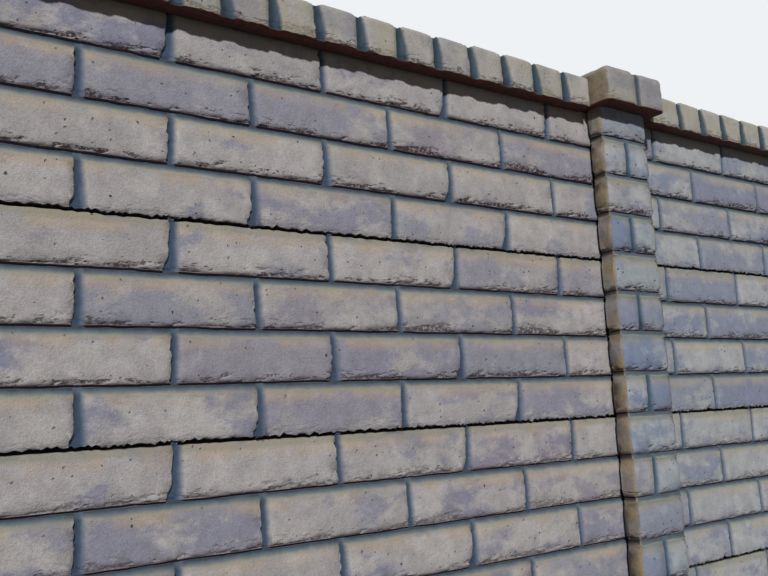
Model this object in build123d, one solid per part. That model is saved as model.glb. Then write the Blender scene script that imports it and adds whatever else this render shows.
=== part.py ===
from build123d import *
import os

# A precast concrete wall in three bays. Cast panels with a moulded brick face are stacked in the
# slots of cast posts, a coping lies on each bay and a cap on each post.
# Millimetres, +X along the wall, the front faces -Y, +Z up from the ground. The origin is the
# middle of the base of the second post.

# Layout
bay_count = 3
panels_per_bay = 7
post_at_origin = 2

# Panels, with a moulded brick course between each two bed joints
panel_length = 2000
panel_thickness = 50
course_height = 75
courses_per_panel = 4
panel_top_bevel = 3
panel_gap_height = 5
panel_gap_depth = 16

# Bed joints: a sharp ledge under the course above, a slope up to the course below
bed_joint_width = 10
bed_joint_depth = 8
bed_joint_slope = 5

# Posts, with a slot for the panel ends
post_width = 140
post_lip_thickness = 37
post_corner_bevel = 6
post_course_height = 76.5
post_top_course = 61
slot_depth = 40
panel_end_gap = 5.5
panel_front_gap = 3
panel_back_seat = 0.3

# Copings, cast as bricks on edge
coping_overhang = 36
coping_rise = 61
coping_top_bevel = 10
coping_brick_pitch = 78
coping_first_brick = 103
coping_shortest_brick = 40
coping_end_gap = 3
coping_lap = 5
coping_lap_clearance = 2

# Caps, cast as four bricks
cap_overhang_side = 20
cap_overhang_front = 40
cap_height = 75
cap_top_radius = 18
cap_corner_bevel = 8

# Notches between the bricks of copings and caps
notch_width = 11
notch_depth = 8

panel_height = course_height * courses_per_panel
wall_height = panel_height * panels_per_bay
slot_width = panel_thickness + panel_front_gap + panel_back_seat
post_depth = slot_width + 2 * post_lip_thickness
web_thickness = post_width - 2 * slot_depth
post_pitch = panel_length + 2 * panel_end_gap + web_thickness
slot_back = slot_width / 2
panel_middle = slot_back - panel_back_seat - panel_thickness / 2
cap_width = post_width + 2 * cap_overhang_side
cap_depth = post_depth + 2 * cap_overhang_front
coping_length = post_pitch - cap_width - 2 * coping_end_gap
coping_depth = panel_thickness + 2 * coping_overhang
coping_height = coping_rise + coping_lap


def post_x(number):
    """Middle of a post, counted from 1 at the left end of the wall."""
    return (number - post_at_origin) * post_pitch


def bay_x(number):
    """Middle of a bay, counted from 1 at the left end of the wall."""
    return post_x(number) + post_pitch / 2


def bed_joint():
    """Profile of one bed joint: x runs in from the face, y up from the middle of the joint."""
    outline = Polyline(
        (0, -bed_joint_width / 2),
        (bed_joint_depth, bed_joint_slope - bed_joint_width / 2),
        (bed_joint_depth, bed_joint_width / 2),
        (0, bed_joint_width / 2),
        close=True,
    )
    return make_face(outline)


def on_both_faces(cuts, depth):
    """Copies of the cuts on the front and the back face of a piece with this depth."""
    front_cuts = [Pos(-depth / 2, 0) * cut for cut in cuts]
    return front_cuts + [mirror(cut, about=Plane.YZ) for cut in front_cuts]


def panel_section():
    """Cross-section with the courses standing proud of the bed joints on both faces."""
    bed_heights = [course * course_height for course in range(1, courses_per_panel)]
    gap = Pos(panel_gap_depth / 2, panel_gap_height / 2) * Rectangle(panel_gap_depth, panel_gap_height)
    bevel = make_face(Polyline((0, 0), (panel_top_bevel, 0), (0, -panel_top_bevel), close=True))
    cuts = [Pos(0, height) * bed_joint() for height in bed_heights] + [gap, Pos(0, panel_height) * bevel]
    block = Pos(0, panel_height / 2) * Rectangle(panel_thickness, panel_height)
    return block - on_both_faces(cuts, panel_thickness)


def panel():
    """One cast panel, lying on z = 0 with its middle at x = 0."""
    section = Plane.YZ * Pos(panel_middle, 0) * panel_section()
    return Pos(-panel_length / 2, 0, 0) * extrude(section, amount=panel_length)


def post(slot_sides):
    """A post with a slot on each side named: -1 is the left one and 1 the right one."""
    section = Rectangle(post_width, post_depth)
    section = chamfer(section.vertices(), post_corner_bevel)
    for side in slot_sides:
        section -= Pos(side * (post_width - slot_depth) / 2, 0) * Rectangle(slot_depth, slot_width)
    shaft = extrude(section, amount=wall_height)
    joints = []
    height = wall_height - post_top_course
    while height > bed_joint_width:
        joints.append(Pos(0, height) * bed_joint())
        height -= post_course_height
    cuts = [Plane.YZ * joint for joint in on_both_faces(joints, post_depth)]
    return shaft - [extrude(cut, amount=post_width / 2, both=True) for cut in cuts]


def notch(height, depth):
    """Cutter for one joint that runs up the front, over the top and down the back at x = 0."""
    whole = Pos(0, 0, height / 2) * Box(notch_width, depth, height)
    core_height = height - notch_depth
    core = Pos(0, 0, core_height / 2) * Box(notch_width, depth - 2 * notch_depth, core_height)
    return whole - core


def coping():
    """One coping, its middle at x = 0, with the top of the panels at z = 0."""
    block = Pos(0, coping_height / 2 - coping_lap) * Rectangle(coping_depth, coping_height)
    block = chamfer(block.vertices().sort_by(Axis.Y)[-2:], coping_top_bevel)
    channel = Rectangle(panel_thickness + 2 * coping_lap_clearance, coping_lap)
    section = block - Pos(0, -coping_lap / 2) * channel
    rail = extrude(Plane.YZ * Pos(panel_middle, 0) * section, amount=coping_length)
    rail = Pos(-coping_length / 2, 0, 0) * rail
    cutter = Pos(0, panel_middle, -coping_lap) * notch(coping_height, coping_depth)
    joint_x = -coping_length / 2 + coping_first_brick
    while joint_x < coping_length / 2 - coping_shortest_brick:
        rail -= Pos(joint_x, 0, 0) * cutter
        joint_x += coping_brick_pitch
    return rail


def rounded_block(width, height, radius):
    """Upright rectangle standing on y = 0 with its two top corners rounded."""
    block = Pos(0, height / 2) * Rectangle(width, height)
    return fillet(block.vertices().sort_by(Axis.Y)[-2:], radius)


def cap():
    """One cap, its middle at x = 0, with the top of its post at z = 0."""
    plan = Rectangle(cap_width, cap_depth)
    plan = chamfer(plan.vertices(), cap_corner_bevel)
    from_front = Plane.XZ * rounded_block(cap_width, cap_height, cap_top_radius)
    from_side = Plane.YZ * rounded_block(cap_depth, cap_height, cap_top_radius)
    block = extrude(plan, amount=cap_height)
    block &= extrude(from_front, amount=cap_depth / 2, both=True)
    block &= extrude(from_side, amount=cap_width / 2, both=True)
    block -= notch(cap_height, cap_depth)
    block -= Rot(0, 0, 90) * notch(cap_height, cap_width)
    return block


def write(shape, name):
    export_step(shape, f"parts/{name}.step")


os.makedirs("parts", exist_ok=True)

one_panel = panel()
one_coping = coping()
one_cap = cap()
for bay in range(1, bay_count + 1):
    for level in range(panels_per_bay):
        write(Pos(bay_x(bay), 0, level * panel_height) * one_panel, f"bay{bay}_panel_{level + 1}")
    write(Pos(bay_x(bay), 0, wall_height) * one_coping, f"bay{bay}_coping")

for number in range(1, bay_count + 2):
    sides = [side for side in (-1, 1) if 1 <= number + (side - 1) // 2 <= bay_count]
    write(Pos(post_x(number), 0, 0) * post(sides), f"post_{number}")
    write(Pos(post_x(number), 0, wall_height) * one_cap, f"post_{number}_cap")
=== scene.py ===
import math
from functools import partialmethod
import bmesh
import bpy
from mathutils import Matrix, Vector


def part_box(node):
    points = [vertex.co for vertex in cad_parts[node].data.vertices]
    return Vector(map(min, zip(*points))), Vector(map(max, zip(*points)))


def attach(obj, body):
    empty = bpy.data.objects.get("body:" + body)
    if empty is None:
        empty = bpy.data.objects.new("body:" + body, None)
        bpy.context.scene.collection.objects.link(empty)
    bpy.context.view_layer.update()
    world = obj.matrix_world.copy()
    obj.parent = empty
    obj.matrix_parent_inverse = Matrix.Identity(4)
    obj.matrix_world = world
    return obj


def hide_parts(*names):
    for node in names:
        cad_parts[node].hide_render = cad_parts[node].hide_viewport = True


# Looks of a precast concrete wall in three bays: panels with a moulded brick face in the slots of
# moulded posts, with a coping of bricks on edge on each bay and a cap of four bricks on each post.
# Metres, +X along the wall, the front faces -Y, +Z up from the ground.

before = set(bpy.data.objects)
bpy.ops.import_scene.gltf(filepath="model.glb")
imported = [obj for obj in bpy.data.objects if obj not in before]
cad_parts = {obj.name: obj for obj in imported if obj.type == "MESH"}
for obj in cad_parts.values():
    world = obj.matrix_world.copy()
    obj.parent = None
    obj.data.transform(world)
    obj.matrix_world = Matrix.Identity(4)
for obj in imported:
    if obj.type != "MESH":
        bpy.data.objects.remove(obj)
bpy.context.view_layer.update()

# The mould of a panel: four courses of bricks, and the upright joints between them
COURSE = 0.075
COURSES = 4
PANEL_HEIGHT = COURSE * COURSES
LOWER_EDGE = 0.0047
PANEL_COLUMN_STEP = 0.0030
PANEL_END = 0.06
CROWN_HALF = 0.014
BASE_HALF = 0.006
PANEL_BRICKS = {
    "Course": COURSE,
    "Lower edge": LOWER_EDGE,
    "Brick": 0.25,
    "First joint": 0.1075,
    "Bond shift": 0.125,
    "Half width": 0.0050,
    "Spread": 0.0048,
    "Slant": 0.0090,
    "Wander": 0.0052,
    "Nicks": 0.0040,
    "Broken corner": 0.0070,
    "Seed": 6,
}

# The open joint between two panels: how far its jagged upper edge may stray down and up, how the
# lower edge follows it, and how much less torn and shaded the course above it is
JAG_SHIFT = 0.0004
JAG_DOWN = -0.0036
JAG_UP = 0.0056
FOLLOW_SHARE = 0.6
FOLLOW_DROP = 0.0008
BASE_CLEAN = 0.7

# Joints: a bed slopes in from the course below and ends in a slit under the course above. The face
# of a brick ends between the two depths given.
BED_START = 0.0155
BED_END = 0.0052
SLIT_START = 0.0028
SLIT_END = 0.0020
OVER_SLIT = 0.0060
FACE_ENDS = (0.0004, 0.0026)
# How far below a torn fold its lip lies, where a highlight is painted
LIP_RISE = 0.0020
JOINT_DEPTHS = {
    "Bed depth": 0.0046,
    "Slit depth": 0.0026,
    "Upright depth": 0.0060,
    "Torn depth": 0.0028,
}

# The mould of a post
POST_COURSE = 0.0765
POST_TOP_EDGE = 0.0563
POST_WIDTH = 0.140
POST_CORNER_RADIUS = 0.009
POST_LIP_RADIUS = 0.0045
POST_SLOT_DEPTH = 0.040
POST_SLOT_WIDTH = 0.0533
POST_ROWS_PER_COURSE = 27
POST_STEP = 0.0028
POST_BLOCKS = {
    "Course": POST_COURSE,
    "Joint stray": 0.018,
    "Half width": 0.0060,
    "Spread": 0.0036,
    "Wander": 0.0050,
    "Seed": 3,
}

# The mould of a coping
COPING_BRICK = 0.078
COPING_FIRST_JOINT = 0.103
COPING_LAST_BRICK = 0.040
COPING_RADIUS = 0.012
COPING_LAP = 0.005
COPING_CHANNEL = 0.054
COPING_COLUMN_STEP = 0.0026
COPING_STEP = 0.0026
COPING_BRICKS = {
    "Brick": COPING_BRICK,
    "First joint": COPING_FIRST_JOINT,
    "Joint depth": 0.0074,
    "Half width": 0.0058,
    "Slant": 0.0010,
    "Widening": 0.0120,
    "Wander": 0.0034,
    "Seed": 7,
}

# The mould of a cap
CAP_RADIUS = 0.019
CAP_GRID = 0.0027
CAP_BRICKS = {
    "Joint depth": 0.0072,
    "Half width": 0.0046,
    "Softness": 0.0052,
    "Joint place": 0.0046,
    "Wander": 0.0040,
}

# Heights of the rows of a moulded course: above its lower edge, in its joint, and the step between
EDGE_ROWS = (0.0003, 0.0015, 0.0030, 0.0048, 0.0070)
JOINT_ROWS = (0.0165, 0.0140, 0.0115, 0.0090, 0.0066, 0.0046, 0.0029, 0.0020)
ROW_STEP = 0.0036
LAST_ROW = 0.0004

# Triangles that each mould is thinned to
PANEL_TRIANGLES = 37000
POST_TRIANGLES = 22000
COPING_TRIANGLES = 20000
CAP_TRIANGLES = 8000

# Shape and shading of the castings
WELD = 0.00012
SHARP_ANGLE = math.radians(60)
CORNER_STEPS = 5
PLAIN_STEP = 0.009
PLAIN_CLEAR = 0.009

# Colours as they show in plain light, 0 to 255. Some stand for painted shade or a painted
# highlight, as noted. Mortar has a tone with painted shade and a lit tone.
CREAM = (159, 154, 153)
PALE_CREAM = (175, 170, 168)
MAUVE_GREY = (130, 125, 139)
BLUE_GREY = (118, 125, 146)
PEACH = (173, 153, 129)
OLIVE_TAN = (157, 151, 132)
RIM_OLIVE = (136, 133, 116)
# Painted shade on the rounded lower edge of a brick
EDGE_SHADE = (93, 80, 86)
# Torn folds: partly their reddish-brown skin, partly painted shade in their hollows
FOLD_BROWN_AND_SHADE = (64, 50, 52)
# Painted shade in the small pits
PIT_SHADE = (58, 48, 48)
# Painted shade in the slit under a course and under its lower edge
SLIT_SHADE = (84, 82, 92)
# Painted shade in the open joint between panels and in the notches on the sides of posts
HOLLOW_SHADE = (46, 40, 42)
BED_TEAL = (84, 97, 106)
# Painted shade in a bed where it runs in towards the slit
BED_IN_SHADE = (56, 62, 72)
# Mortar of upright joints: a tone with painted shade for the left side, and a lit tone for the
# right
PANEL_MORTAR_SHADED_LIT = (56, 71, 90), (100, 108, 125)
POST_MORTAR_SHADED_LIT = (54, 74, 90), (80, 100, 116)
COPING_MORTAR_SHADED_LIT = (40, 54, 64), (62, 78, 90)
CAP_MORTAR_SHADED_LIT = (56, 66, 72), (86, 94, 98)
BARE_TAN = (140, 124, 100)
BARE_DARK = (106, 94, 80)
SOFFIT = (72, 38, 31)
FLOOR_PALE = (214, 214, 213)
FLOOR_DULL = (80, 80, 80)

# Cooler tints of the posts and of the bays after the first, as shares added to red, green and blue
POST_TINT = (-0.16, -0.03, 0.06)
BAY_TINT = (-0.07, 0.01, 0.06)

# How much more grey pigment the bricks hold, and more with each bay
PANEL_CHILL = -0.01
BAY_CHILL = 0.03
POST_CHILL = 0.03
COPING_CHILL = -0.06
CAP_CHILL = 0.10

# Finish of the concrete
CONCRETE_ROUGHNESS = 0.92
CONCRETE_SPECULAR = 0.3
CAP_SHADE = 0.88
PITS_PER_METRE = 85.0
PITLESS_SHARE = 0.55
WEATHERED_COURSE = 0.2

# Light: where a lamp stands as seen from the wall, its strength, and its spread in degrees
KEY_LAMP = (-0.38, -0.70, 0.48), 3.42, 3
BACK_LAMP = (0.5, 0.75, 0.45), 2.4, 25
SKY_SOFT = (0.96, 0.98, 1.0, 1), 0.10
SKY_PALE = (0.86, 0.88, 0.90, 1), 1.0
FLOOR_REACH = 40.0
FLOOR_DROP = 0.0005

# Camera: place, lens, and its right, down and forward directions
CAMERA_PLACE = (-1.372, -1.109, 1.518)
CAMERA_LENS = 40.5
CAMERA_RIGHT = (0.8125, -0.5805, -0.0526)
CAMERA_DOWN = (0.0454, 0.1529, -0.9872)
CAMERA_FORWARD = (0.5811, 0.7997, 0.1506)


class Field:
    """One output of a node tree, for plain arithmetic between nodes."""

    def __init__(self, tree, socket):
        self.tree = tree
        self.socket = socket

    def math(self, operation, *others):
        node = self.tree.nodes.new("ShaderNodeMath")
        node.operation = operation
        for slot, value in zip(node.inputs, (self, *others)):
            plug(self.tree, slot, value)
        return Field(self.tree, node.outputs[0])

    def __rsub__(self, other):
        return -self + other

    __add__ = __radd__ = partialmethod(math, "ADD")
    __sub__ = partialmethod(math, "SUBTRACT")
    __mul__ = __rmul__ = partialmethod(math, "MULTIPLY")
    __truediv__ = partialmethod(math, "DIVIDE")
    __neg__ = partialmethod(math, "MULTIPLY", -1.0)
    __abs__ = partialmethod(math, "ABSOLUTE")
    floor = partialmethod(math, "FLOOR")
    wrap = partialmethod(math, "FLOORED_MODULO")
    above = partialmethod(math, "GREATER_THAN")
    below = partialmethod(math, "LESS_THAN")


def plug(tree, slot, value):
    """Sets a socket to a plain value, or links a field to it."""
    if isinstance(value, Field):
        tree.links.new(value.socket, slot)
    else:
        slot.default_value = value


def least(first, second):
    return first.math("MINIMUM", second)


def most(first, second):
    return first.math("MAXIMUM", second)


def ramp(value, start, end, low=0.0, high=1.0):
    """Smooth change from low to high while value goes from start to end."""
    node = value.tree.nodes.new("ShaderNodeMapRange")
    node.interpolation_type = "SMOOTHSTEP"
    for slot, item in zip(node.inputs, (value, start, end, low, high)):
        plug(value.tree, slot, item)
    return Field(value.tree, node.outputs[0])


def vector(tree, x, y, z):
    node = tree.nodes.new("ShaderNodeCombineXYZ")
    for slot, value in zip(node.inputs, (x, y, z)):
        plug(tree, slot, value)
    return Field(tree, node.outputs[0])


def parts(field):
    """The three parts of a vector or colour."""
    node = field.tree.nodes.new("ShaderNodeSeparateXYZ")
    plug(field.tree, node.inputs[0], field)
    return [Field(field.tree, output) for output in node.outputs]


def vector_math(operation, first, second=None):
    node = first.tree.nodes.new("ShaderNodeVectorMath")
    node.operation = operation
    plug(first.tree, node.inputs[0], first)
    if second is not None:
        slot = node.inputs["Scale"] if operation == "SCALE" else node.inputs[1]
        plug(first.tree, slot, second)
    return Field(first.tree, node.outputs["Value" if operation == "LENGTH" else "Vector"])


def scaled(field, share):
    return vector_math("SCALE", field, share)


def noise_node(place, scale, detail, roughness):
    node = place.tree.nodes.new("ShaderNodeTexNoise")
    settings = {"Vector": place, "Scale": scale, "Detail": detail, "Roughness": roughness}
    for label, value in settings.items():
        plug(place.tree, node.inputs[label], value)
    return node


def noise(place, scale, detail=2.0, roughness=0.5):
    return Field(place.tree, noise_node(place, scale, detail, roughness).outputs["Fac"])


def noise_vector(place, scale):
    """Three noises about zero."""
    shares = Field(place.tree, noise_node(place, scale, 2.0, 0.5).outputs["Color"])
    return vector_math("SUBTRACT", shares, (0.5, 0.5, 0.5))


def spots(place, scale):
    """Distance from the nearest of many scattered spots, and three random shares for that spot."""
    node = place.tree.nodes.new("ShaderNodeTexVoronoi")
    plug(place.tree, node.inputs["Vector"], place)
    plug(place.tree, node.inputs["Scale"], scale)
    shares = parts(Field(place.tree, node.outputs["Color"]))
    return Field(place.tree, node.outputs["Distance"]), shares


def lots(x, y, z=0.0):
    """Three random shares, 0 to 1, for each whole-numbered place."""
    node = x.tree.nodes.new("ShaderNodeTexWhiteNoise")
    plug(x.tree, node.inputs["Vector"], vector(x.tree, x, y, z))
    return parts(Field(x.tree, node.outputs["Color"]))


# Where a point lies in its brick. The moulds and the finishes both use these.


def counted(way, pitch, shift=0.0):
    """Number of the bay, course or joint at some way along a row of them, and the way from it."""
    number = (way / pitch + shift).floor()
    return number, way - number * pitch


def bond_cell(along, height, size):
    """Course, height above its lower edge, number of the nearest upright joint, way from it."""
    course, rise = counted(height - size["Lower edge"], size["Course"])
    from_first = along - size["First joint"] - (course + 1).wrap(2) * size["Bond shift"]
    return course, rise, *counted(from_first, size["Brick"], 0.5)


def post_cell(across, height, size):
    """The same for a post, where every second course has one upright joint near the middle."""
    course, rise = counted(height - size["Lower edge"], size["Course"])
    luck = lots(course, size["Seed"])
    return course, rise, 1 - course.wrap(2), across - (luck[0] - 0.5) * size["Joint stray"]


def around_post(across, depth_way):
    """A way round a post that doesn't repeat from face to face."""
    return across * 1.3 + depth_way * 0.9


def wander(place, scale, size):
    return (noise(place, scale) - 0.5) * size["Wander"]


def soft_joint(across, left, right, sharp, soft):
    """1 in a joint that has a crisp side on its left and eases out to the right."""
    return ramp(across, -left - sharp, -left + sharp) * ramp(across, right + soft, right - soft)


def panel_joint(cell, side, size):
    """How deep a point lies in an upright joint of a panel, 0 to 1, and its way from the middle.
    The joint widens and slants as it goes down, with nicks and broken corners on its left."""
    course, rise, joint, across = cell
    luck = lots(joint + side * 40, course, size["Seed"])
    more_luck = lots(joint + side * 40, course, size["Seed"] + 9)
    fall = 1 - rise / size["Course"]
    place = vector(rise.tree, joint * 3, side * 7 + course * 5, rise)
    nicks = ramp(noise(place, 95.0, 3.0, 0.7), 0.46, 0.74) * size["Nicks"]
    corner = ramp(rise, 0.024, 0.0) * ramp(more_luck[0], 0.72, 0.90) * size["Broken corner"]
    left = size["Half width"] + fall * luck[0] * size["Spread"] * 0.6 + nicks + corner
    right = size["Half width"] + fall * luck[1] * size["Spread"]
    slant = (luck[2] - 0.5) * (fall - 0.5) * size["Slant"]
    shifted = across + slant + wander(place, 70.0, size)
    return soft_joint(shifted, left, right, 0.0011, 0.0036), shifted


def post_joint(cell, side, size):
    """The same for the joint in every second block of a post."""
    course, rise, split, stray = cell
    luck = lots(course, size["Seed"] + side, 5.0)
    fall = 1 - rise / size["Course"]
    left = size["Half width"] + fall * luck[0] * size["Spread"]
    right = size["Half width"] + fall * luck[1] * size["Spread"]
    shifted = stray + wander(vector(rise.tree, course * 3, side * 7, rise), 60.0, size)
    return soft_joint(shifted, left, right, 0.0013, 0.0036) * split, shifted


def coping_joint(joint, across, side, rise, size):
    """The same for a coping, where the joint opens to the right as it goes down."""
    luck = lots(joint, side, size["Seed"])
    low = 1 - ramp(rise, 0.0, size["Height"])
    below_top = least(rise, size["Height"] - 0.018)
    place = vector(rise.tree, joint * 3, side * 7, below_top)
    shifted = across + wander(place, 60.0, size) + (luck[1] - 0.5) * (low - 0.5) * 0.005
    left = size["Half width"] - low * size["Slant"]
    right = size["Half width"] + low * size["Widening"] * (0.55 + luck[0] * 0.45)
    return soft_joint(shifted, left, right, 0.0014, 0.0030), shifted


def cap_joint(place, size):
    """How deep a point lies in the two joints that cross on a cap, 0 to 1."""
    x, y, _ = parts(place)
    stray = wander(place, 14.0, size)
    half, soft = size["Half width"], size["Softness"]
    nearest = least(abs(x - size["Joint place"] + stray), abs(y + stray))
    return ramp(nearest, half + soft, half - soft * 0.3)


def torn(along, rise, course, side, seed):
    """Torn folds in the skin of a brick a little above its lower edge, 0 to 1."""
    tree = along.tree
    slanting = rise * 175.0 - along * 16.0
    skin = vector(tree, along * 48.0, slanting, course * 5.3 + side * 3.1 + seed)
    patch = noise(vector(tree, along * 9.0, course * 3.3 + side, seed), 1.0, 1.0) - 0.5
    low = ramp(rise, 0.0140, 0.0010) * 0.11
    deep = ramp(noise(skin, 1.0, 4.0, 0.65) + patch * 0.55 + low, 0.590, 0.650)
    return deep * ramp(rise, 0.0200, 0.0090) * ramp(rise, 0.0002, 0.0014)


def torn_skin(along, rise, course, side, seed):
    """The torn folds, and the lips just below them, where a highlight is painted."""
    lip_highlight = torn(along, rise + LIP_RISE, course, side, seed)
    return torn(along, rise, course, side, seed), lip_highlight


def open_slit(along, course, side, seed):
    """Where the slit over a course has stayed open, 0 to 1."""
    line = vector(along.tree, along * 22.0, course * 3.7 + side * 11, seed)
    return ramp(noise(line, 1.0, 2.0), 0.34, 0.48)


# Geometry Nodes trees of the moulds


class Mould:
    """A Geometry Nodes tree with named inputs for its sizes."""

    def __init__(self, name, sizes):
        self.sizes = sizes
        self.tree = bpy.data.node_groups.new(name, "GeometryNodeTree")
        interface = self.tree.interface
        interface.new_socket("Outline", in_out="INPUT", socket_type="NodeSocketGeometry")
        for label, value in sizes.items():
            kind = "NodeSocketInt" if isinstance(value, int) else "NodeSocketFloat"
            interface.new_socket(label, in_out="INPUT", socket_type=kind)
        interface.new_socket("Material", in_out="INPUT", socket_type="NodeSocketMaterial")
        interface.new_socket("Casting", in_out="OUTPUT", socket_type="NodeSocketGeometry")
        self.inputs = self.tree.nodes.new("NodeGroupInput")
        self.size = {label: self.input(label) for label in sizes}

    def input(self, label):
        return Field(self.tree, self.inputs.outputs[label])

    def node(self, kind, *values, **settings):
        """A node with its inputs in order, where None leaves one as it is."""
        made = self.tree.nodes.new(kind)
        for key, value in settings.items():
            setattr(made, key, value)
        slots = [slot for slot in made.inputs if slot.enabled]
        for slot, value in zip(slots, values):
            if value is not None:
                plug(self.tree, slot, value)
        return Field(self.tree, made.outputs[0])

    def attribute(self, name, kind="FLOAT"):
        return self.node("GeometryNodeInputNamedAttribute", name, data_type=kind)

    def sweep(self, rows):
        """The outline drawn out over a number of rows, and for each point its place in the outline,
        its inward direction and the number of its row."""
        line = self.node("GeometryNodeMeshLine", rows)
        index = self.node("GeometryNodeInputIndex")
        numbered = self.node("GeometryNodeStoreNamedAttribute", line, None, "row", index)
        path = self.node("GeometryNodeMeshToCurve", numbered)
        profile = self.node("GeometryNodeMeshToCurve", self.input("Outline"))
        mesh = self.node("GeometryNodeCurveToMesh", path, profile, None, True)
        outline, inward = (self.attribute(name, "FLOAT_VECTOR") for name in ("outline", "inward"))
        return mesh, outline, inward, self.attribute("row")

    def pour(self, mesh, *moves):
        """Puts each point at the sum of the vectors given, and ends the tree with a real mesh."""
        place = moves[0]
        for move in moves[1:]:
            place = vector_math("ADD", place, move)
        moved = self.node("GeometryNodeSetPosition", mesh, None, place)
        welded = self.node("GeometryNodeMergeByDistance", moved, None, WELD)
        real = self.node("GeometryNodeRealizeInstances", welded)
        coloured = self.node("GeometryNodeSetMaterial", real, None, self.input("Material"))
        output = self.tree.nodes.new("NodeGroupOutput")
        plug(self.tree, output.inputs[0], coloured)

    def cast(self, name, material, triangles, outline=(((0, 0, 0), (0, 0, 0)),)):
        """Runs the tree on an outline of (place, inward) pairs, and thins the plain mesh."""
        former = bpy.data.objects.new(name, outline_mesh(name, outline))
        bpy.context.scene.collection.objects.link(former)
        modifier = former.modifiers.new("mould", "NODES")
        modifier.node_group = self.tree
        for item in self.tree.interface.items_tree:
            if item.name in self.sizes:
                modifier[item.identifier] = self.sizes[item.name]
            elif item.name == "Material":
                modifier[item.identifier] = material
        mesh = evaluated(former)
        former.modifiers.remove(modifier)
        former.data = mesh
        mesh.calc_loop_triangles()
        thinner = former.modifiers.new("thinner", "DECIMATE")
        thinner.ratio = min(1.0, triangles / len(mesh.loop_triangles))
        thinned = evaluated(former)
        bpy.data.objects.remove(former)
        return tidied(thinned)


def evaluated(piece):
    depsgraph = bpy.context.evaluated_depsgraph_get()
    return bpy.data.meshes.new_from_object(piece.evaluated_get(depsgraph))


def tidied(mesh):
    """Faces outwards, no leftover attributes, smooth apart from the sharp edges."""
    shape = bmesh.new()
    shape.from_mesh(mesh)
    bmesh.ops.dissolve_degenerate(shape, dist=0.00005, edges=shape.edges)
    bmesh.ops.triangulate(shape, faces=[face for face in shape.faces if len(face.verts) > 4])
    bmesh.ops.recalc_face_normals(shape, faces=shape.faces)
    for face in shape.faces:
        face.smooth = True
    for edge in shape.edges:
        if len(edge.link_faces) == 2:
            edge.smooth = edge.calc_face_angle() < SHARP_ANGLE
    shape.to_mesh(mesh)
    shape.free()
    for name in ("outline", "inward", "row"):
        if name in mesh.attributes:
            mesh.attributes.remove(mesh.attributes[name])
    return mesh


def outline_mesh(name, outline):
    """A closed loop of edges that carries its places and inward directions."""
    mesh = bpy.data.meshes.new(name)
    count = len(outline)
    loop = [(i, (i + 1) % count) for i in range(count)]
    mesh.from_pydata([place for place, inward in outline], loop, [])
    for column, label in enumerate(("outline", "inward")):
        layer = mesh.attributes.new(label, "FLOAT_VECTOR", "POINT")
        layer.data.foreach_set("vector", [c for row in outline for c in row[column]])
    return mesh


def spaced(start, end, step):
    """Evenly spaced values from start up to, but not at, end."""
    count = max(1, round(abs(end - start) / step))
    return [start + (end - start) * i / count for i in range(count)]


def course_rows():
    """Heights of the rows of one course of a panel above its lower edge."""
    joint_rows = [COURSE - row for row in JOINT_ROWS]
    face_rows = spaced(EDGE_ROWS[-1] + ROW_STEP, joint_rows[0], ROW_STEP)
    return list(EDGE_ROWS) + face_rows + joint_rows + [COURSE - LAST_ROW]


def panel_outline(thickness, height):
    """Across a panel, from the front of its base up the face, over the top and down the back."""
    rows = [0.0, LOWER_EDGE - LAST_ROW]
    for course in range(COURSES):
        rows += [LOWER_EDGE + course * COURSE + rise for rise in course_rows()]
    rows = [row for row in rows if row < height - 0.0008] + [height]
    crown = spaced(-CROWN_HALF, CROWN_HALF, CROWN_HALF / 2) + [CROWN_HALF]
    points = [((0, -thickness / 2, row), (0, 1, 0)) for row in rows]
    points += [((0, y, height), (0, 0, 0)) for y in crown]
    points += [((0, thickness / 2, row), (0, -1, 0)) for row in reversed(rows)]
    points += [((0, y, 0), (0, 0, 0)) for y in (BASE_HALF, -BASE_HALF)]
    return points


def rounded_outline(corners, step):
    """Anticlockwise round corners given as (x, y, radius, moulded), as (place, inward) rows. The
    run after a corner is moulded or left plain, and a plain run keeps clear of a moulded one."""
    count = len(corners)
    points = []
    for i, (x, y, radius, moulded) in enumerate(corners):
        after_x, after_y, after_radius, after_moulded = corners[(i + 1) % count]
        before_moulded = corners[i - 1][3]
        corner, after = Vector((x, y)), Vector((after_x, after_y))
        coming = (corner - Vector(corners[i - 1][:2])).normalized()
        going = (after - corner).normalized()
        if radius:
            centre = corner - coming * radius + Vector((-coming.y, coming.x)) * radius
            for k in range(CORNER_STEPS):
                turn = math.pi / 2 * k / CORNER_STEPS
                out = Vector((coming.y, -coming.x)) * math.cos(turn) + coming * math.sin(turn)
                points.append((centre + out * radius, -out))
        start = radius if moulded or not before_moulded else PLAIN_CLEAR
        left_over = after_radius if moulded or not after_moulded else PLAIN_CLEAR
        end = (after - corner).length - left_over
        ways = spaced(start, end, step if moulded else PLAIN_STEP)
        if moulded != after_moulded:
            ways.append(end)
        inward = Vector((-going.y, going.x)) if moulded else Vector((0, 0))
        points += [(corner + going * way, inward) for way in ways]
    return points


def post_outline(depth, slots):
    """Round a post seen from above, with a slot on each side named: -1 left, 1 right."""
    half, front, slot = POST_WIDTH / 2, depth / 2, POST_SLOT_WIDTH / 2
    corners = []
    for side in (1, -1):
        corners.append((-side * half, -side * front, POST_CORNER_RADIUS, True))
        corners.append((side * half, -side * front, POST_CORNER_RADIUS, True))
        if side in slots:
            floor_x = side * (half - POST_SLOT_DEPTH)
            corners.append((side * half, -side * slot, POST_LIP_RADIUS, False))
            corners.append((floor_x, -side * slot, 0, False))
            corners.append((floor_x, side * slot, 0, False))
            corners.append((side * half, side * slot, POST_LIP_RADIUS, True))
    return [((p.x, p.y, 0), (n.x, n.y, 0)) for p, n in rounded_outline(corners, POST_STEP)]


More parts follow.
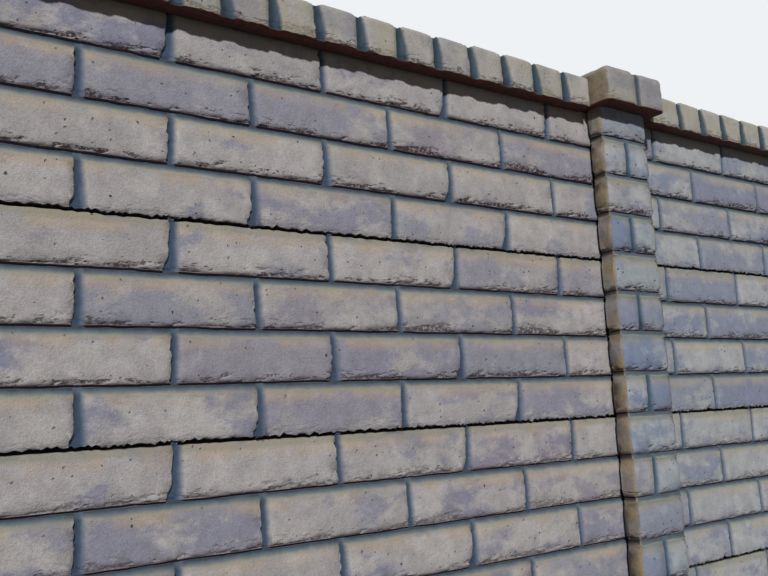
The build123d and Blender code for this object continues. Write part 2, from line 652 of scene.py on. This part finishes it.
def coping_outline(depth, height):
    """Across a coping, with the channel that sits over the top panel."""
    half, channel, top = depth / 2, COPING_CHANNEL / 2, height - COPING_LAP
    corners = [
        (-half, -COPING_LAP, 0, False),
        (-channel, -COPING_LAP, 0, False),
        (-channel, 0, 0, False),
        (channel, 0, 0, False),
        (channel, -COPING_LAP, 0, False),
        (half, -COPING_LAP, 0, True),
        (half, top, COPING_RADIUS, True),
        (-half, top, COPING_RADIUS, True),
    ]
    return [((0, p.x, p.y), (0, n.x, n.y)) for p, n in rounded_outline(corners, COPING_STEP)]


# The moulds


def bed_joint(rise, course):
    """Shares of the slope and of the slit of a bed joint, each 0 to 1."""
    slope = ramp(rise, course - BED_START, course - BED_END)
    return slope, ramp(rise, course - SLIT_START, course - SLIT_END)


def ragged_edge(along, edge, side, size, finer=0.0):
    """How far the lower edge of a course strays from its line, as a share."""
    line = vector(along.tree, along, edge * 3.7 + side * 11, size["Seed"])
    slow, quick = noise(line, 11.0, 1.0) - 0.5, noise(line, 46.0, 1.0) - 0.5
    fine = noise(line, 125.0, 2.0) - 0.5
    return slow * (0.9 - finer * 0.4) + quick * 0.6 + fine * (0.4 + finer * 0.7)


def near_beds(rise, course, low, high):
    """1 at the lower and upper edges of a course, where low and high say how far each reaches."""
    return most(ramp(rise, *low), ramp(rise, *(course - way for way in high)))


def on_corner(first, second):
    """1 on a rounded corner, from two parts of the inward direction."""
    return 1 - ramp(most(abs(first), abs(second)), 0.72, 0.98)


def stone_relief(spot, size):
    """Hollows and grain of a moulded face, apart from its joints."""
    swell = noise(spot, 9.0, 2.0) * size["Swell"]
    grain = (noise(spot, 75.0, 3.0, 0.6) - 0.35) * size["Grain"]
    return swell + most(grain, 0.0)


def panel_mould(length):
    sizes = {
        "Rows": round(length / PANEL_COLUMN_STEP) + 1,
        "Length": length,
        "Crowding": 0.45,
        "Gap depth": 0.016,
        "Ragged": 0.0034,
        "Jagged": 0.0140,
        "Edge round": 0.0015,
        "Swell": 0.0014,
        "Grain": 0.0012,
        **JOINT_DEPTHS,
        **PANEL_BRICKS,
    }
    mould = Mould("panel_mould", sizes)
    tree, size = mould.tree, mould.size
    mesh, outline, inward, row = mould.sweep(size["Rows"])
    even = row / (size["Rows"] - 1) * size["Length"]
    turn = (even - size["First joint"]) / size["Bond shift"] * math.tau
    inner = ramp(even, 0.0, PANEL_END) * ramp(even, size["Length"], size["Length"] - PANEL_END)
    along = even - turn.math("SINE") * size["Bond shift"] / math.tau * size["Crowding"] * inner
    height = parts(outline)[2]
    facing = parts(inward)[1]
    moulded = abs(facing)
    side = facing.below(0.0)
    cell = bond_cell(along, height, size)
    course, rise = cell[:2]
    gap, base_course = course.below(-0.5), course.below(0.5)
    top_course = course.above(COURSES - 1.5)

    upright = panel_joint(cell, side, size)[0]
    over = panel_joint(bond_cell(along, height + OVER_SLIT, size), side, size)[0]
    slope, slit = bed_joint(rise, size["Course"])
    slit = slit * (1 - over) * open_slit(along, course, side, size["Seed"])
    bed_depth = slope * size["Bed depth"] * (1 - top_course * 0.6)
    slit_depth = slit * size["Slit depth"] * (1 - top_course) * (1 - upright)
    joints = most((bed_depth + slit_depth) * (1 - gap), upright * size["Upright depth"])
    face = 1 - ramp(joints, *FACE_ENDS)
    folds = torn(along, rise, course, side, size["Seed"]) * size["Torn depth"]
    folds = folds * (1 - base_course * BASE_CLEAN)
    rounded = ramp(rise, 0.0050, 0.0) * size["Edge round"]
    relief = stone_relief(vector(tree, along, side * 5, height), size)
    depth = joints + (folds + rounded + relief) * face + (1 - face) * 0.0006
    open_gap = gap * (1 - upright * 0.75) * size["Gap depth"]

    upper = rise.above(size["Course"] * 0.5)
    edge = (course + upper).wrap(COURSES)
    base_edge = 1 - least(edge, 1.0)
    share = ragged_edge(along, edge, side, size, base_edge)
    stray = share * (size["Ragged"] + base_edge * (size["Jagged"] - size["Ragged"]))
    stray = least(most(stray - base_edge * JAG_SHIFT, JAG_DOWN), JAG_UP)
    on_top = top_course * upper
    follow = least(stray * FOLLOW_SHARE - FOLLOW_DROP, 0.0)
    stray = stray * (1 - on_top) + follow * on_top
    near_edge = near_beds(rise, size["Course"], (0.022, 0.001), (0.018, 0.006))
    lift = stray * near_edge * ramp(height, 0.0, 0.003) * moulded
    pressed = scaled(inward, most(depth, open_gap))
    mould.pour(mesh, outline, vector(tree, along, 0.0, lift), pressed)
    return mould


def post_mould(height):
    """Blocks one on another, every second one split in two by an upright joint."""
    whole_courses = math.ceil((height - POST_TOP_EDGE) / POST_COURSE)
    sizes = {
        "Rows": (whole_courses + 1) * POST_ROWS_PER_COURSE,
        "Rows per course": POST_ROWS_PER_COURSE,
        "Crowding": 0.65,
        "Height": height,
        "Width": POST_WIDTH,
        "Lower edge": post_lower_edge(height),
        "Ragged": 0.0030,
        "Pillow": 0.0024,
        "Worn": 0.0046,
        "Swell": 0.0014,
        "Grain": 0.0014,
        **JOINT_DEPTHS,
        **POST_BLOCKS,
    }
    mould = Mould("post_mould", sizes)
    tree, size = mould.tree, mould.size
    mesh, outline, inward, row = mould.sweep(size["Rows"])
    across, depth_way, _ = parts(outline)
    facing_x, facing_y, _ = parts(inward)
    course, own_row = counted(row, size["Rows per course"])
    even = own_row / (size["Rows per course"] - 1)
    share = even - (even * math.tau).math("SINE") / math.tau * size["Crowding"]
    level = size["Lower edge"] + course * size["Course"]
    free = level + LAST_ROW + share * (size["Course"] - 2 * LAST_ROW)
    height_now = least(most(free, 0.0), size["Height"])
    rise = height_now - level
    side = depth_way.above(0.0)
    flat = ramp(abs(facing_y), 0.6, 0.95)
    around = around_post(across, depth_way)

    cell = post_cell(across, level + rise, size)
    upright = post_joint((course, rise, *cell[2:]), side, size)[0] * flat
    slope, slit = bed_joint(rise, size["Course"])
    slit = slit * open_slit(around, course, side, size["Seed"])
    bed_depth = slope * size["Bed depth"] + slit * size["Slit depth"] * (1 - upright)
    joints = most(bed_depth, upright * size["Upright depth"])
    face = 1 - ramp(joints, *FACE_ENDS)
    to_edge = ramp(abs(across), size["Width"] * 0.34, size["Width"] * 0.5) * flat
    to_bed = near_beds(rise, size["Course"], (0.013, 0.0), (0.030, 0.012))
    pillow = (to_edge + to_bed) * size["Pillow"]
    folds = torn(around, rise, course, side, size["Seed"]) * size["Torn depth"]
    spot = vector(tree, across, depth_way, height_now)
    corner_wear = on_corner(facing_x, facing_y) * noise(spot, 40.0, 3.0)
    worn = corner_wear * size["Worn"] * (0.45 + to_bed)
    depth = joints + (folds + worn + pillow + stone_relief(spot, size)) * face

    upper = rise.above(size["Course"] * 0.5)
    near_edge = near_beds(rise, size["Course"], (0.018, 0.001), (0.014, 0.005))
    inside = ramp(height_now, 0.0, 0.02) * ramp(height_now, size["Height"], size["Height"] - 0.02)
    lift = ragged_edge(around, course + upper, 0.0, size) * size["Ragged"] * near_edge * inside
    moulded = ramp(vector_math("LENGTH", inward), 0.1, 0.5)
    raised = vector(tree, 0.0, 0.0, height_now + lift * moulded)
    mould.pour(mesh, outline, raised, scaled(inward, depth))
    return mould


def coping_mould(length, height):
    """Bricks on edge in a row, with joints that widen downwards."""
    sizes = {
        "Rows": round(length / COPING_COLUMN_STEP) + 1,
        "Length": length,
        "Height": height,
        "Last joint": coping_joints(length) - 1,
        "Pillow": 0.0034,
        "Stray": 0.0020,
        "Lean": 0.0020,
        "Worn": 0.0034,
        "Ragged": 0.0160,
        "Swell": 0.0014,
        "Grain": 0.0016,
        **COPING_BRICKS,
    }
    mould = Mould("coping_mould", sizes)
    tree, size = mould.tree, mould.size
    mesh, outline, inward, row = mould.sweep(size["Rows"])
    along = row / (size["Rows"] - 1) * size["Length"]
    _, depth_way, rise = parts(outline)
    _, facing_y, facing_z = parts(inward)
    side = depth_way.above(0.0)
    joint, across = counted(along - size["First joint"], size["Brick"], 0.5)
    real = joint.above(-0.5) * (1 - joint.above(size["Last joint"] + 0.5))
    gap = coping_joint(joint, across, side, rise, size)[0] * real
    face = 1 - ramp(gap, 0.1, 0.5)
    spot = vector(tree, along, depth_way, rise)
    luck = lots(joint + across.above(0.0), 3.0, size["Seed"])
    falling = (across / size["Brick"]).wrap(1.0)
    end_round = ramp(abs(across), 0.015, 0.004) * real * size["Pillow"]
    lean = falling * size["Lean"] * abs(facing_z)
    worn = on_corner(facing_y, facing_z) * noise(spot, 40.0, 3.0) * size["Worn"]
    loose = end_round + worn + lean + luck[0] * size["Stray"] + stone_relief(spot, size)
    pressed = scaled(inward, gap * size["Joint depth"] + loose * face)
    moulded = ramp(vector_math("LENGTH", inward), 0.1, 0.5)
    near_edge = ramp(rise, -COPING_LAP + 0.016, -COPING_LAP) * moulded
    ragged = most(noise(vector(tree, along, side * 3, 0.0), 42.0, 3.0, 0.65) - 0.42, 0.0)
    raised = vector(tree, along, 0.0, ragged * near_edge * size["Ragged"])
    mould.pour(mesh, outline, raised, pressed)
    return mould


def cap_mould(width, depth, height):
    """A rounded block with a joint each way across it."""
    sizes = {
        "Width": width,
        "Depth": depth,
        "Height": height,
        "Radius": CAP_RADIUS,
        "Pillow": 0.0038,
        "Uneven": 0.0044,
        "Swell": 0.0018,
        "Grain": 0.0016,
        **CAP_BRICKS,
    }
    mould = Mould("cap_mould", sizes)
    tree, size = mould.tree, mould.size
    reach = vector(tree, size["Width"], size["Depth"], size["Height"])
    counts = [round(length / CAP_GRID) for length in (width, depth, height)]
    block = mould.node("GeometryNodeMeshCube", reach, *counts)
    x, y, z = parts(mould.node("GeometryNodeInputPosition"))
    z = z + size["Height"] * 0.5
    radius = size["Radius"]
    core_x = least(most(x, radius - size["Width"] * 0.5), size["Width"] * 0.5 - radius)
    core_y = least(most(y, radius - size["Depth"] * 0.5), size["Depth"] * 0.5 - radius)
    core = vector(tree, core_x, core_y, least(z, size["Height"] - radius))
    out = vector_math("NORMALIZE", vector_math("SUBTRACT", vector(tree, x, y, z), core))
    skin = vector_math("ADD", core, scaled(out, radius))
    joint = cap_joint(skin, size)
    face = 1 - ramp(joint, 0.1, 0.6)
    skin_x, skin_y, _ = parts(skin)
    near = least(abs(skin_x - size["Joint place"]), abs(skin_y))
    pillow = ramp(near, 0.022, 0.005) * size["Pillow"]
    rough = noise(skin, 24.0, 3.0) * size["Uneven"] + stone_relief(skin, size)
    pressed = -(joint * size["Joint depth"] + (pillow + rough) * face)
    mould.pour(block, skin, scaled(out, pressed))
    return mould


def coping_joints(length):
    """How many joints a coping has."""
    return math.ceil((length - COPING_FIRST_JOINT - COPING_LAST_BRICK) / COPING_BRICK)


def post_lower_edge(height):
    """Height of the lower edge of the lowest course of a post, which is below the ground."""
    below_top = height - POST_TOP_EDGE
    return below_top - math.ceil(below_top / POST_COURSE) * POST_COURSE


# Materials


def colour(tone):
    """A colour of 0 to 255 steps as the renderer's linear values."""
    linear = [c / 255 / 12.92 if c < 11 else ((c / 255 + 0.055) / 1.055) ** 2.4 for c in tone]
    return (*linear, 1.0)


def paint(under, over, amount):
    """Colour over on colour under, where amount is 1."""
    tree = amount.tree
    node = tree.nodes.new("ShaderNodeMix")
    node.data_type = "RGBA"
    plug(tree, node.inputs[0], amount)
    for slot, tone in ((node.inputs[6], under), (node.inputs[7], over)):
        plug(tree, slot, tone if isinstance(tone, Field) else colour(tone))
    return Field(tree, node.outputs[2])


class Finish:
    """A procedural material on object coordinates."""

    def __init__(self, name):
        self.material = bpy.data.materials.new(name)
        self.material.use_nodes = True
        self.tree = self.material.node_tree
        self.shader = self.tree.nodes["Principled BSDF"]
        coordinates = self.tree.nodes.new("ShaderNodeTexCoord")
        self.place = Field(self.tree, coordinates.outputs["Object"])
        self.x, self.y, self.z = parts(self.place)

    def done(self, shade, height):
        self.tree.links.new(shade.socket, self.shader.inputs["Base Color"])
        self.shader.inputs["Roughness"].default_value = CONCRETE_ROUGHNESS
        self.shader.inputs["Specular IOR Level"].default_value = CONCRETE_SPECULAR
        bump = self.tree.nodes.new("ShaderNodeBump")
        bump.inputs["Strength"].default_value = 1.0
        bump.inputs["Distance"].default_value = 1.0
        plug(self.tree, bump.inputs["Height"], height)
        self.tree.links.new(bump.outputs["Normal"], self.shader.inputs["Normal"])
        return self.material


def brick_tones(finish, luck, chill):
    """Cream brick with grey pigment over part of it, more of it with more chill, and its grain."""
    place = finish.place
    drift = vector(finish.tree, luck[0] * 9, luck[1] * 9, luck[2] * 9)
    stretched = vector_math("MULTIPLY", place, (1.0, 1.0, 1.5))
    patch = noise(vector_math("ADD", stretched, drift), 9.0, 5.0, 0.66)
    grey = ramp(patch + (luck[0] - 0.5) * 0.26 + chill, 0.44, 0.57)
    cream = paint(CREAM, PALE_CREAM, ramp(noise(place, 26.0, 3.0), 0.40, 0.66) * 0.7)
    cool = paint(MAUVE_GREY, BLUE_GREY, luck[1] * 0.8 + chill)
    brick = paint(cream, cool, grey * (0.56 + luck[2] * 0.42))
    grain = noise(place, 430.0, 3.0, 0.75)
    blotch = noise(place, 48.0, 4.0, 0.65)
    brightness = 0.30 + grain * 0.84 + blotch * 0.54 + (luck[2] - 0.5) * 0.07
    return scaled(brick, brightness)


def brick_skin(finish, rise, course, luck, folds, lip_highlight, chill, edge=1.0):
    """A moulded brick: peach above, olive at its rounded top, torn at its lower edge, with painted
    shade along that edge, dark torn folds that are partly painted shade, and a painted highlight on
    the lips below them.
    """
    place = finish.place
    brick = brick_tones(finish, luck, chill)
    upper = ramp(rise, course - 0.036, course - 0.018) * ramp(noise(place, 22.0, 2.0), 0.34, 0.62)
    brick = paint(brick, PEACH, upper * 0.55)
    brick = paint(brick, RIM_OLIVE, ramp(rise, course - 0.0205, course - 0.0115) * 0.65)
    # Painted shade on the rounded lower edge, patchy along it
    stain_and_shade = 0.10 + ramp(noise(place, 48.0, 3.0), 0.38, 0.62) * 0.80
    shaded = most(ramp(rise, 0.0090, 0.0006) * stain_and_shade, ramp(rise, 0.0046, 0.0010) * 0.8)
    brick = paint(brick, EDGE_SHADE, shaded * edge)
    # Painted highlight on the lips just below the torn folds
    brick = paint(brick, PALE_CREAM, lip_highlight * (1 - folds) * 0.4)
    # The torn folds darkened: partly their reddish-brown skin, partly painted shade in their
    # hollows
    return paint(brick, FOLD_BROWN_AND_SHADE, folds * ramp(noise(place, 190.0, 2.0), 0.34, 0.56))


def weathered(finish, brick):
    """Olive growth on the bricks of a coping or a cap."""
    growth = ramp(noise(finish.place, 11.0, 4.0, 0.65), 0.40, 0.66)
    return paint(brick, OLIVE_TAN, growth * 0.55 + 0.20)


def tinted(brick, tint, share):
    """The colour shifted by a tint, as much as the share says."""
    shift = scaled(vector(share.tree, *tint), share)
    return vector_math("MULTIPLY", brick, vector_math("ADD", shift, (1.0, 1.0, 1.0)))


def pitted(place):
    """Small holes left by air in the mould, and how dark the painted shade in each one is."""
    bent = vector_math("ADD", place, scaled(noise_vector(place, 130.0), 0.006))
    away, luck = spots(bent, PITS_PER_METRE)
    reach = ramp(luck[0], PITLESS_SHARE, 1.0, 0.03, 0.22)
    return ramp(away, reach, reach * 0.35) * luck[0].above(PITLESS_SHARE), 0.25 + luck[1] * 0.70


def joint_mortar(finish, shifted, tones):
    """Mortar of an upright joint, in painted shade at its left and paler, painted as lit, to its
    right.
    """
    reach = (noise(finish.place, 42.0, 3.0) - 0.5) * 0.006
    return paint(*tones, ramp(shifted + reach, -0.0016, 0.0096))


def bed_and_slit(finish, rise, course, opened):
    """Where the mortar of a bed shows and how deep it lies, for its painted shade, and where shade
    is painted in the slit under the next course and under the lower edge of this one.
    """
    wobble = (noise(finish.place, 60.0, 3.0) - 0.5) * 0.0050
    cover = ramp(rise + wobble, course - 0.0142, course - 0.0068)
    deep = ramp(rise + wobble, course - 0.0080, course - 0.0028)
    under_next = ramp(rise, course - 0.0036, course - 0.0026) * opened
    return cover, deep, most(under_next, ramp(rise, 0.0007, 0.0002))


def cast_surface(finish, brick, folds, upright, shifted, tones, bed=None, bare=None):
    """Colour and bump of moulded stone with its mortar, and where it is bare instead. Shade is
    painted into the beds, the pits and the left of upright joints.
    """
    place = finish.place
    shade = joint_mortar(finish, shifted, tones)
    mortar = upright
    if bed is not None:
        cover, deep = bed
        # Painted shade darkens the bed as it runs in deeper
        bed_shade = paint(BED_TEAL, BED_IN_SHADE, deep * (1 - upright))
        shade = paint(bed_shade, shade, upright * (1 - cover * 0.8))
        mortar = most(cover, upright)
    pits, darkness = pitted(place)
    pits = pits * (1 - mortar)
    # Painted shade in the pits
    brick = paint(brick, PIT_SHADE, pits * darkness)
    damp = scaled(shade, 0.74 + noise(place, 260.0, 4.0, 0.65) * 0.52)
    shade = paint(brick, damp, mortar)
    if bare is not None:
        dirt = paint(BARE_DARK, BARE_TAN, ramp(noise(place, 30.0, 4.0, 0.6), 0.30, 0.62))
        dirt = scaled(dirt, 0.70 + noise(place, 300.0, 3.0, 0.7) * 0.60)
        shade = paint(shade, dirt, bare)
    sand = noise(place, 600.0, 3.0, 0.7) * 0.0010
    lumps = noise(place, 190.0, 4.0, 0.7) * 0.0013
    height = (sand + lumps) * (1 - mortar * 0.5) - pits * 0.0016 - folds * 0.0008
    return shade, height


def side_faces(place, side_depth, front_depth):
    """1 on the faces at the sides of a piece and its worn corners, 0 on its front and back."""
    wear = (noise(place, 34.0, 3.0) - 0.5) * 0.0070
    return ramp(front_depth - side_depth + wear, -0.0036, 0.0010)


def underside(finish, shade, lowest, edge_depth):
    """The rough bare face under a coping or a cap, with painted shade that darkens it away from its
    outer edges.
    """
    under = ramp(finish.z, lowest + 0.0022, lowest + 0.0008) * ramp(edge_depth, 0.001, 0.004)
    rough = most(noise(finish.place, 60.0, 4.0, 0.75) * 2.6 - 0.3, 0.2)
    # Painted shade: darker away from the outer edges
    rough = rough * ramp(edge_depth, 0.0, 0.040, 1.40, 0.40)
    soffit = scaled(vector(finish.tree, *colour(SOFFIT)[:3]), rough)
    return paint(shade, soffit, under)


def panel_concrete(start, pitch, middle, thickness):
    finish = Finish("brick_face_concrete")
    size = PANEL_BRICKS
    bay, along = counted(finish.x - start, pitch)
    level, height = counted(finish.z, PANEL_HEIGHT)
    cell = bond_cell(along, height, size)
    course, rise, joint, across = cell
    behind = (finish.y - middle).above(0.0)
    upright, shifted = panel_joint(cell, behind, size)
    luck = lots(joint + across.above(0.0) + bay * 20, course + level * COURSES, behind)
    gap, base_course = course.below(-0.5), course.below(0.5)
    top_course = course.above(COURSES - 1.5)
    rise = rise - gap * COURSE

    folds, lip_highlight = torn_skin(along, rise, course, behind, size["Seed"])
    clean = 1 - base_course * BASE_CLEAN
    folds = folds * clean
    # How dark the torn folds are painted: partly reddish-brown skin, partly painted shade
    stain_and_shade = folds * ramp(level, 3.0, 6.0, 0.3, 1.0)
    chill = bay * BAY_CHILL + PANEL_CHILL
    brick = brick_skin(finish, rise, COURSE, luck, stain_and_shade, lip_highlight, chill, clean)
    brick = tinted(brick, BAY_TINT, least(bay, 1.0))

    over = panel_joint(bond_cell(along, height + OVER_SLIT, size), behind, size)[0]
    opened = open_slit(along, course, behind, size["Seed"]) * (1 - over)
    cover, deep, slit = bed_and_slit(finish, rise, COURSE, opened)
    smears = ramp(noise(finish.place, 17.0, 3.0, 0.6), 0.50, 0.66)
    bed = cover * (1 - top_course * (1 - smears * 0.6)), deep
    shade, bump = cast_surface(finish, brick, folds, upright, shifted, PANEL_MORTAR_SHADED_LIT, bed)

    depth = thickness / 2 - abs(finish.y - middle)
    near_top = ramp(height, PANEL_HEIGHT - 0.0080, PANEL_HEIGHT - 0.0060)
    near_gap = most(ramp(height, 0.0130, 0.0110), near_top)
    # Painted shade inside the open joint between panels and deep beside it
    hollow_shade = most(gap * ramp(depth, 0.0012, 0.0046), near_gap * ramp(depth, 0.0042, 0.0070))
    # Painted shade in the slits
    slit = slit * (1 - gap) * (1 - top_course) * (1 - upright)
    return finish.done(paint(paint(shade, SLIT_SHADE, slit), HOLLOW_SHADE, hollow_shade * (1 - upright)), bump)


def post_concrete(first, pitch, size):
    finish = Finish("block_face_concrete")
    sizes = {"Lower edge": post_lower_edge(size.z), **POST_BLOCKS}
    number, across = counted(finish.x - first, pitch, 0.5)
    cell = post_cell(across, finish.z, sizes)
    course, rise, split, stray = cell
    behind = finish.y.above(0.0)
    side_depth = size.x / 2 - abs(across)
    front_depth = size.y / 2 - abs(finish.y)
    on_side = ramp(front_depth - side_depth, 0.0, 0.0040)
    upright, shifted = post_joint(cell, behind, sizes)
    upright = upright * (1 - on_side)
    luck = lots(course * 2 + stray.above(0.0) * split, number, behind)

    around = around_post(across, finish.y)
    folds, lip_highlight = torn_skin(around, rise, course, behind, sizes["Seed"])
    brick = brick_skin(finish, rise, POST_COURSE, luck, folds, lip_highlight, POST_CHILL)
    brick = tinted(brick, POST_TINT, ramp(luck[1], -0.30, 0.40))

    opened = open_slit(around, course, behind, sizes["Seed"])
    cover, deep, slit = bed_and_slit(finish, rise, POST_COURSE, opened)
    bed = ramp(cover, 0.55, 1.0) * (1 - on_side), deep * 0.6
    patchy = 0.55 + ramp(noise(finish.place, 24.0, 2.0), 0.36, 0.60) * 0.45
    inner = ramp(front_depth, 0.036, 0.026, 0.45, 1.0)
    bare = side_faces(finish.place, side_depth, front_depth) * patchy * inner
    shade, bump = cast_surface(finish, brick, folds, upright, shifted, POST_MORTAR_SHADED_LIT, bed, bare)
    # Painted shade in notches on the side faces, at the bed joints
    notch_shade = ramp(rise, POST_COURSE - 0.0130, POST_COURSE - 0.0040)
    notch_shade = most(notch_shade, ramp(rise, 0.0070, 0.0010) * 0.7)
    # Painted shade in the slits
    shade = paint(shade, SLIT_SHADE, slit * (1 - upright))
    return finish.done(paint(shade, HOLLOW_SHADE, notch_shade * on_side), bump)


def coping_concrete(low, size, pitch):
    finish = Finish("coping_concrete")
    sizes = {"Height": size.z, **COPING_BRICKS}
    middle = low.y + size.y / 2
    bay, along = counted(finish.x - low.x, pitch, COPING_BRICK / pitch)
    joint, across = counted(along - COPING_FIRST_JOINT, COPING_BRICK, 0.5)
    rise = finish.z - low.z - COPING_LAP
    behind = (finish.y - middle).above(0.0)
    real = joint.above(-0.5) * (1 - joint.above(coping_joints(size.x) - 0.5))
    upright, shifted = coping_joint(joint, across, behind, rise, sizes)
    luck = lots(joint + across.above(0.0), bay, behind + 5)
    low_rise = rise + COPING_LAP - 0.001
    folds, lip_highlight = torn_skin(along, low_rise, 1.0, behind, sizes["Seed"])
    brick = brick_skin(finish, low_rise, WEATHERED_COURSE, luck, folds, lip_highlight, COPING_CHILL)
    brick = weathered(finish, brick)
    shade, bump = cast_surface(finish, brick, folds, upright * real, shifted, COPING_MORTAR_SHADED_LIT)
    side_depth = size.y / 2 - abs(finish.y - middle)
    return finish.done(underside(finish, shade, low.z, side_depth), bump)


def cap_concrete(foot, size, pitch):
    finish = Finish("cap_concrete")
    number, across = counted(finish.x - foot.x, pitch, 0.5)
    rise = finish.z - foot.z
    luck = lots(number * 2 + across.above(0.0), finish.y.above(0.0), 9.0)
    upright = cap_joint(vector(finish.tree, across, finish.y, rise), CAP_BRICKS)
    side_depth = size.x / 2 - abs(across)
    front_depth = size.y / 2 - abs(finish.y)
    folds, lip_highlight = torn_skin(across + finish.y, rise, 2.0, number, 9.0)
    brick = brick_skin(finish, rise, WEATHERED_COURSE, luck, folds, lip_highlight, CAP_CHILL)
    brick = scaled(weathered(finish, brick), CAP_SHADE)
    low_side = ramp(rise, size.z - 0.006, size.z - 0.022) * 0.9
    bare = side_faces(finish.place, side_depth, front_depth) * low_side
    shifted = across - CAP_BRICKS["Joint place"]
    shade, bump = cast_surface(finish, brick, folds, upright, shifted, CAP_MORTAR_SHADED_LIT, bare=bare)
    return finish.done(underside(finish, shade, foot.z, least(side_depth, front_depth)), bump)


# Pieces


def measured(node):
    """Lowest corner, size, and middle of the foot of a node of the frame."""
    low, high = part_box(node)
    return low, high - low, Vector(((low.x + high.x) / 2, (low.y + high.y) / 2, low.z))


def hand_over(mesh, node, ending, place):
    """A copy of a casting in its place, standing for a node of the frame."""
    name = f"{node}_{ending}"
    copy = mesh.copy()
    copy.name = name
    copy.transform(Matrix.Translation(place))
    piece = bpy.data.objects.new(name, copy)
    bpy.context.scene.collection.objects.link(piece)
    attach(piece, "root")
    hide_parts(node)


def cast_panels(nodes, pitch):
    low, size, foot = measured(nodes[0])
    finish = panel_concrete(low.x, pitch, foot.y, size.y)
    outline = panel_outline(size.y, size.z)
    casting = panel_mould(size.x).cast("panel_casting", finish, PANEL_TRIANGLES, outline)
    for node in nodes:
        low, _, foot = measured(node)
        hand_over(casting, node, "face", (low.x, foot.y, low.z))


def cast_posts(count, pitch):
    _, size, foot = measured("post_1")
    finish = post_concrete(foot.x, pitch, size)
    mould = post_mould(size.z)
    castings = {}
    for number in range(1, count + 1):
        slots = tuple(side for side, there in ((-1, number > 1), (1, number < count)) if there)
        if slots not in castings:
            name = f"post_casting_{len(castings) + 1}"
            outline = post_outline(size.y, slots)
            castings[slots] = mould.cast(name, finish, POST_TRIANGLES, outline)
        node = f"post_{number}"
        hand_over(castings[slots], node, "blocks", measured(node)[2])


def cast_copings(nodes, pitch):
    low, size, _ = measured(nodes[0])
    finish = coping_concrete(low, size, pitch)
    outline = coping_outline(size.y, size.z)
    mould = coping_mould(size.x, size.z)
    casting = mould.cast("coping_casting", finish, COPING_TRIANGLES, outline)
    for node in nodes:
        low, _, foot = measured(node)
        place = low.x, foot.y, low.z + COPING_LAP
        hand_over(casting, node, "bricks", place)


def cast_caps(count, pitch):
    _, size, foot = measured("post_1_cap")
    finish = cap_concrete(foot, size, pitch)
    casting = cap_mould(*size).cast("cap_casting", finish, CAP_TRIANGLES)
    for number in range(1, count + 1):
        node = f"post_{number}_cap"
        hand_over(casting, node, "bricks", measured(node)[2])


panels = sorted(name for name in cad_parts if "_panel_" in name)
copings = sorted(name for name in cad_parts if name.endswith("_coping"))
post_count = len(copings) + 1
post_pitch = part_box("post_2")[0].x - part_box("post_1")[0].x
cast_panels(panels, post_pitch)
cast_posts(post_count, post_pitch)
cast_copings(copings, post_pitch)
cast_caps(post_count, post_pitch)

# Floor, light and camera

scene = bpy.context.scene


def seen_directly(tree):
    """1 where the camera or a reflection looks, 0 where light is gathered for the wall."""
    rays = tree.nodes.new("ShaderNodeLightPath")
    camera_ray, glossy_ray = rays.outputs["Is Camera Ray"], rays.outputs["Is Glossy Ray"]
    return most(Field(tree, camera_ray), Field(tree, glossy_ray))


def pale_floor():
    """A floor that looks pale and throws little light back on the wall."""
    finish = Finish("pale_floor")
    shade = paint(FLOOR_DULL, FLOOR_PALE, seen_directly(finish.tree))
    plug(finish.tree, finish.shader.inputs["Base Color"], shade)
    finish.shader.inputs["Roughness"].default_value = 0.9
    mesh = bpy.data.meshes.new("floor")
    turns = ((-1, -1), (1, -1), (1, 1), (-1, 1))
    corners = [(x * FLOOR_REACH, y * FLOOR_REACH, 0) for x, y in turns]
    mesh.from_pydata(corners, [], [(0, 1, 2, 3)])
    mesh.materials.append(finish.material)
    plane = bpy.data.objects.new("floor", mesh)
    plane.location.z = -FLOOR_DROP
    scene.collection.objects.link(plane)


def lamp(name, towards, strength, spread):
    light = bpy.data.lights.new(name, "SUN")
    light.energy = strength
    light.angle = math.radians(spread)
    source = bpy.data.objects.new(name, light)
    source.rotation_mode = "QUATERNION"
    source.rotation_quaternion = Vector(towards).to_track_quat("Z", "Y")
    scene.collection.objects.link(source)


def background(tree, tone, strength):
    node = tree.nodes.new("ShaderNodeBackground")
    node.inputs["Color"].default_value = tone
    node.inputs["Strength"].default_value = strength
    return node.outputs[0]


def studio_sky():
    """A faint even light, behind which the camera sees a pale backdrop."""
    world = bpy.data.worlds.new("studio")
    scene.world = world
    world.use_nodes = True
    tree = world.node_tree
    tree.nodes.clear()
    mix = tree.nodes.new("ShaderNodeMixShader")
    plug(tree, mix.inputs[0], seen_directly(tree))
    tree.links.new(background(tree, *SKY_SOFT), mix.inputs[1])
    tree.links.new(background(tree, *SKY_PALE), mix.inputs[2])
    output = tree.nodes.new("ShaderNodeOutputWorld")
    tree.links.new(mix.outputs[0], output.inputs["Surface"])


def photo_camera():
    data = bpy.data.cameras.new("camera")
    data.lens = CAMERA_LENS
    data.sensor_width = 36.0
    view = bpy.data.objects.new("camera", data)
    view.location = CAMERA_PLACE
    view.rotation_mode = "QUATERNION"
    up, back = [-c for c in CAMERA_DOWN], [-c for c in CAMERA_FORWARD]
    view.rotation_quaternion = Matrix((CAMERA_RIGHT, up, back)).transposed().to_quaternion()
    scene.collection.objects.link(view)
    scene.camera = view


pale_floor()
lamp("key", *KEY_LAMP)
lamp("back_fill", *BACK_LAMP)
studio_sky()
photo_camera()
scene.view_settings.view_transform = "Standard"
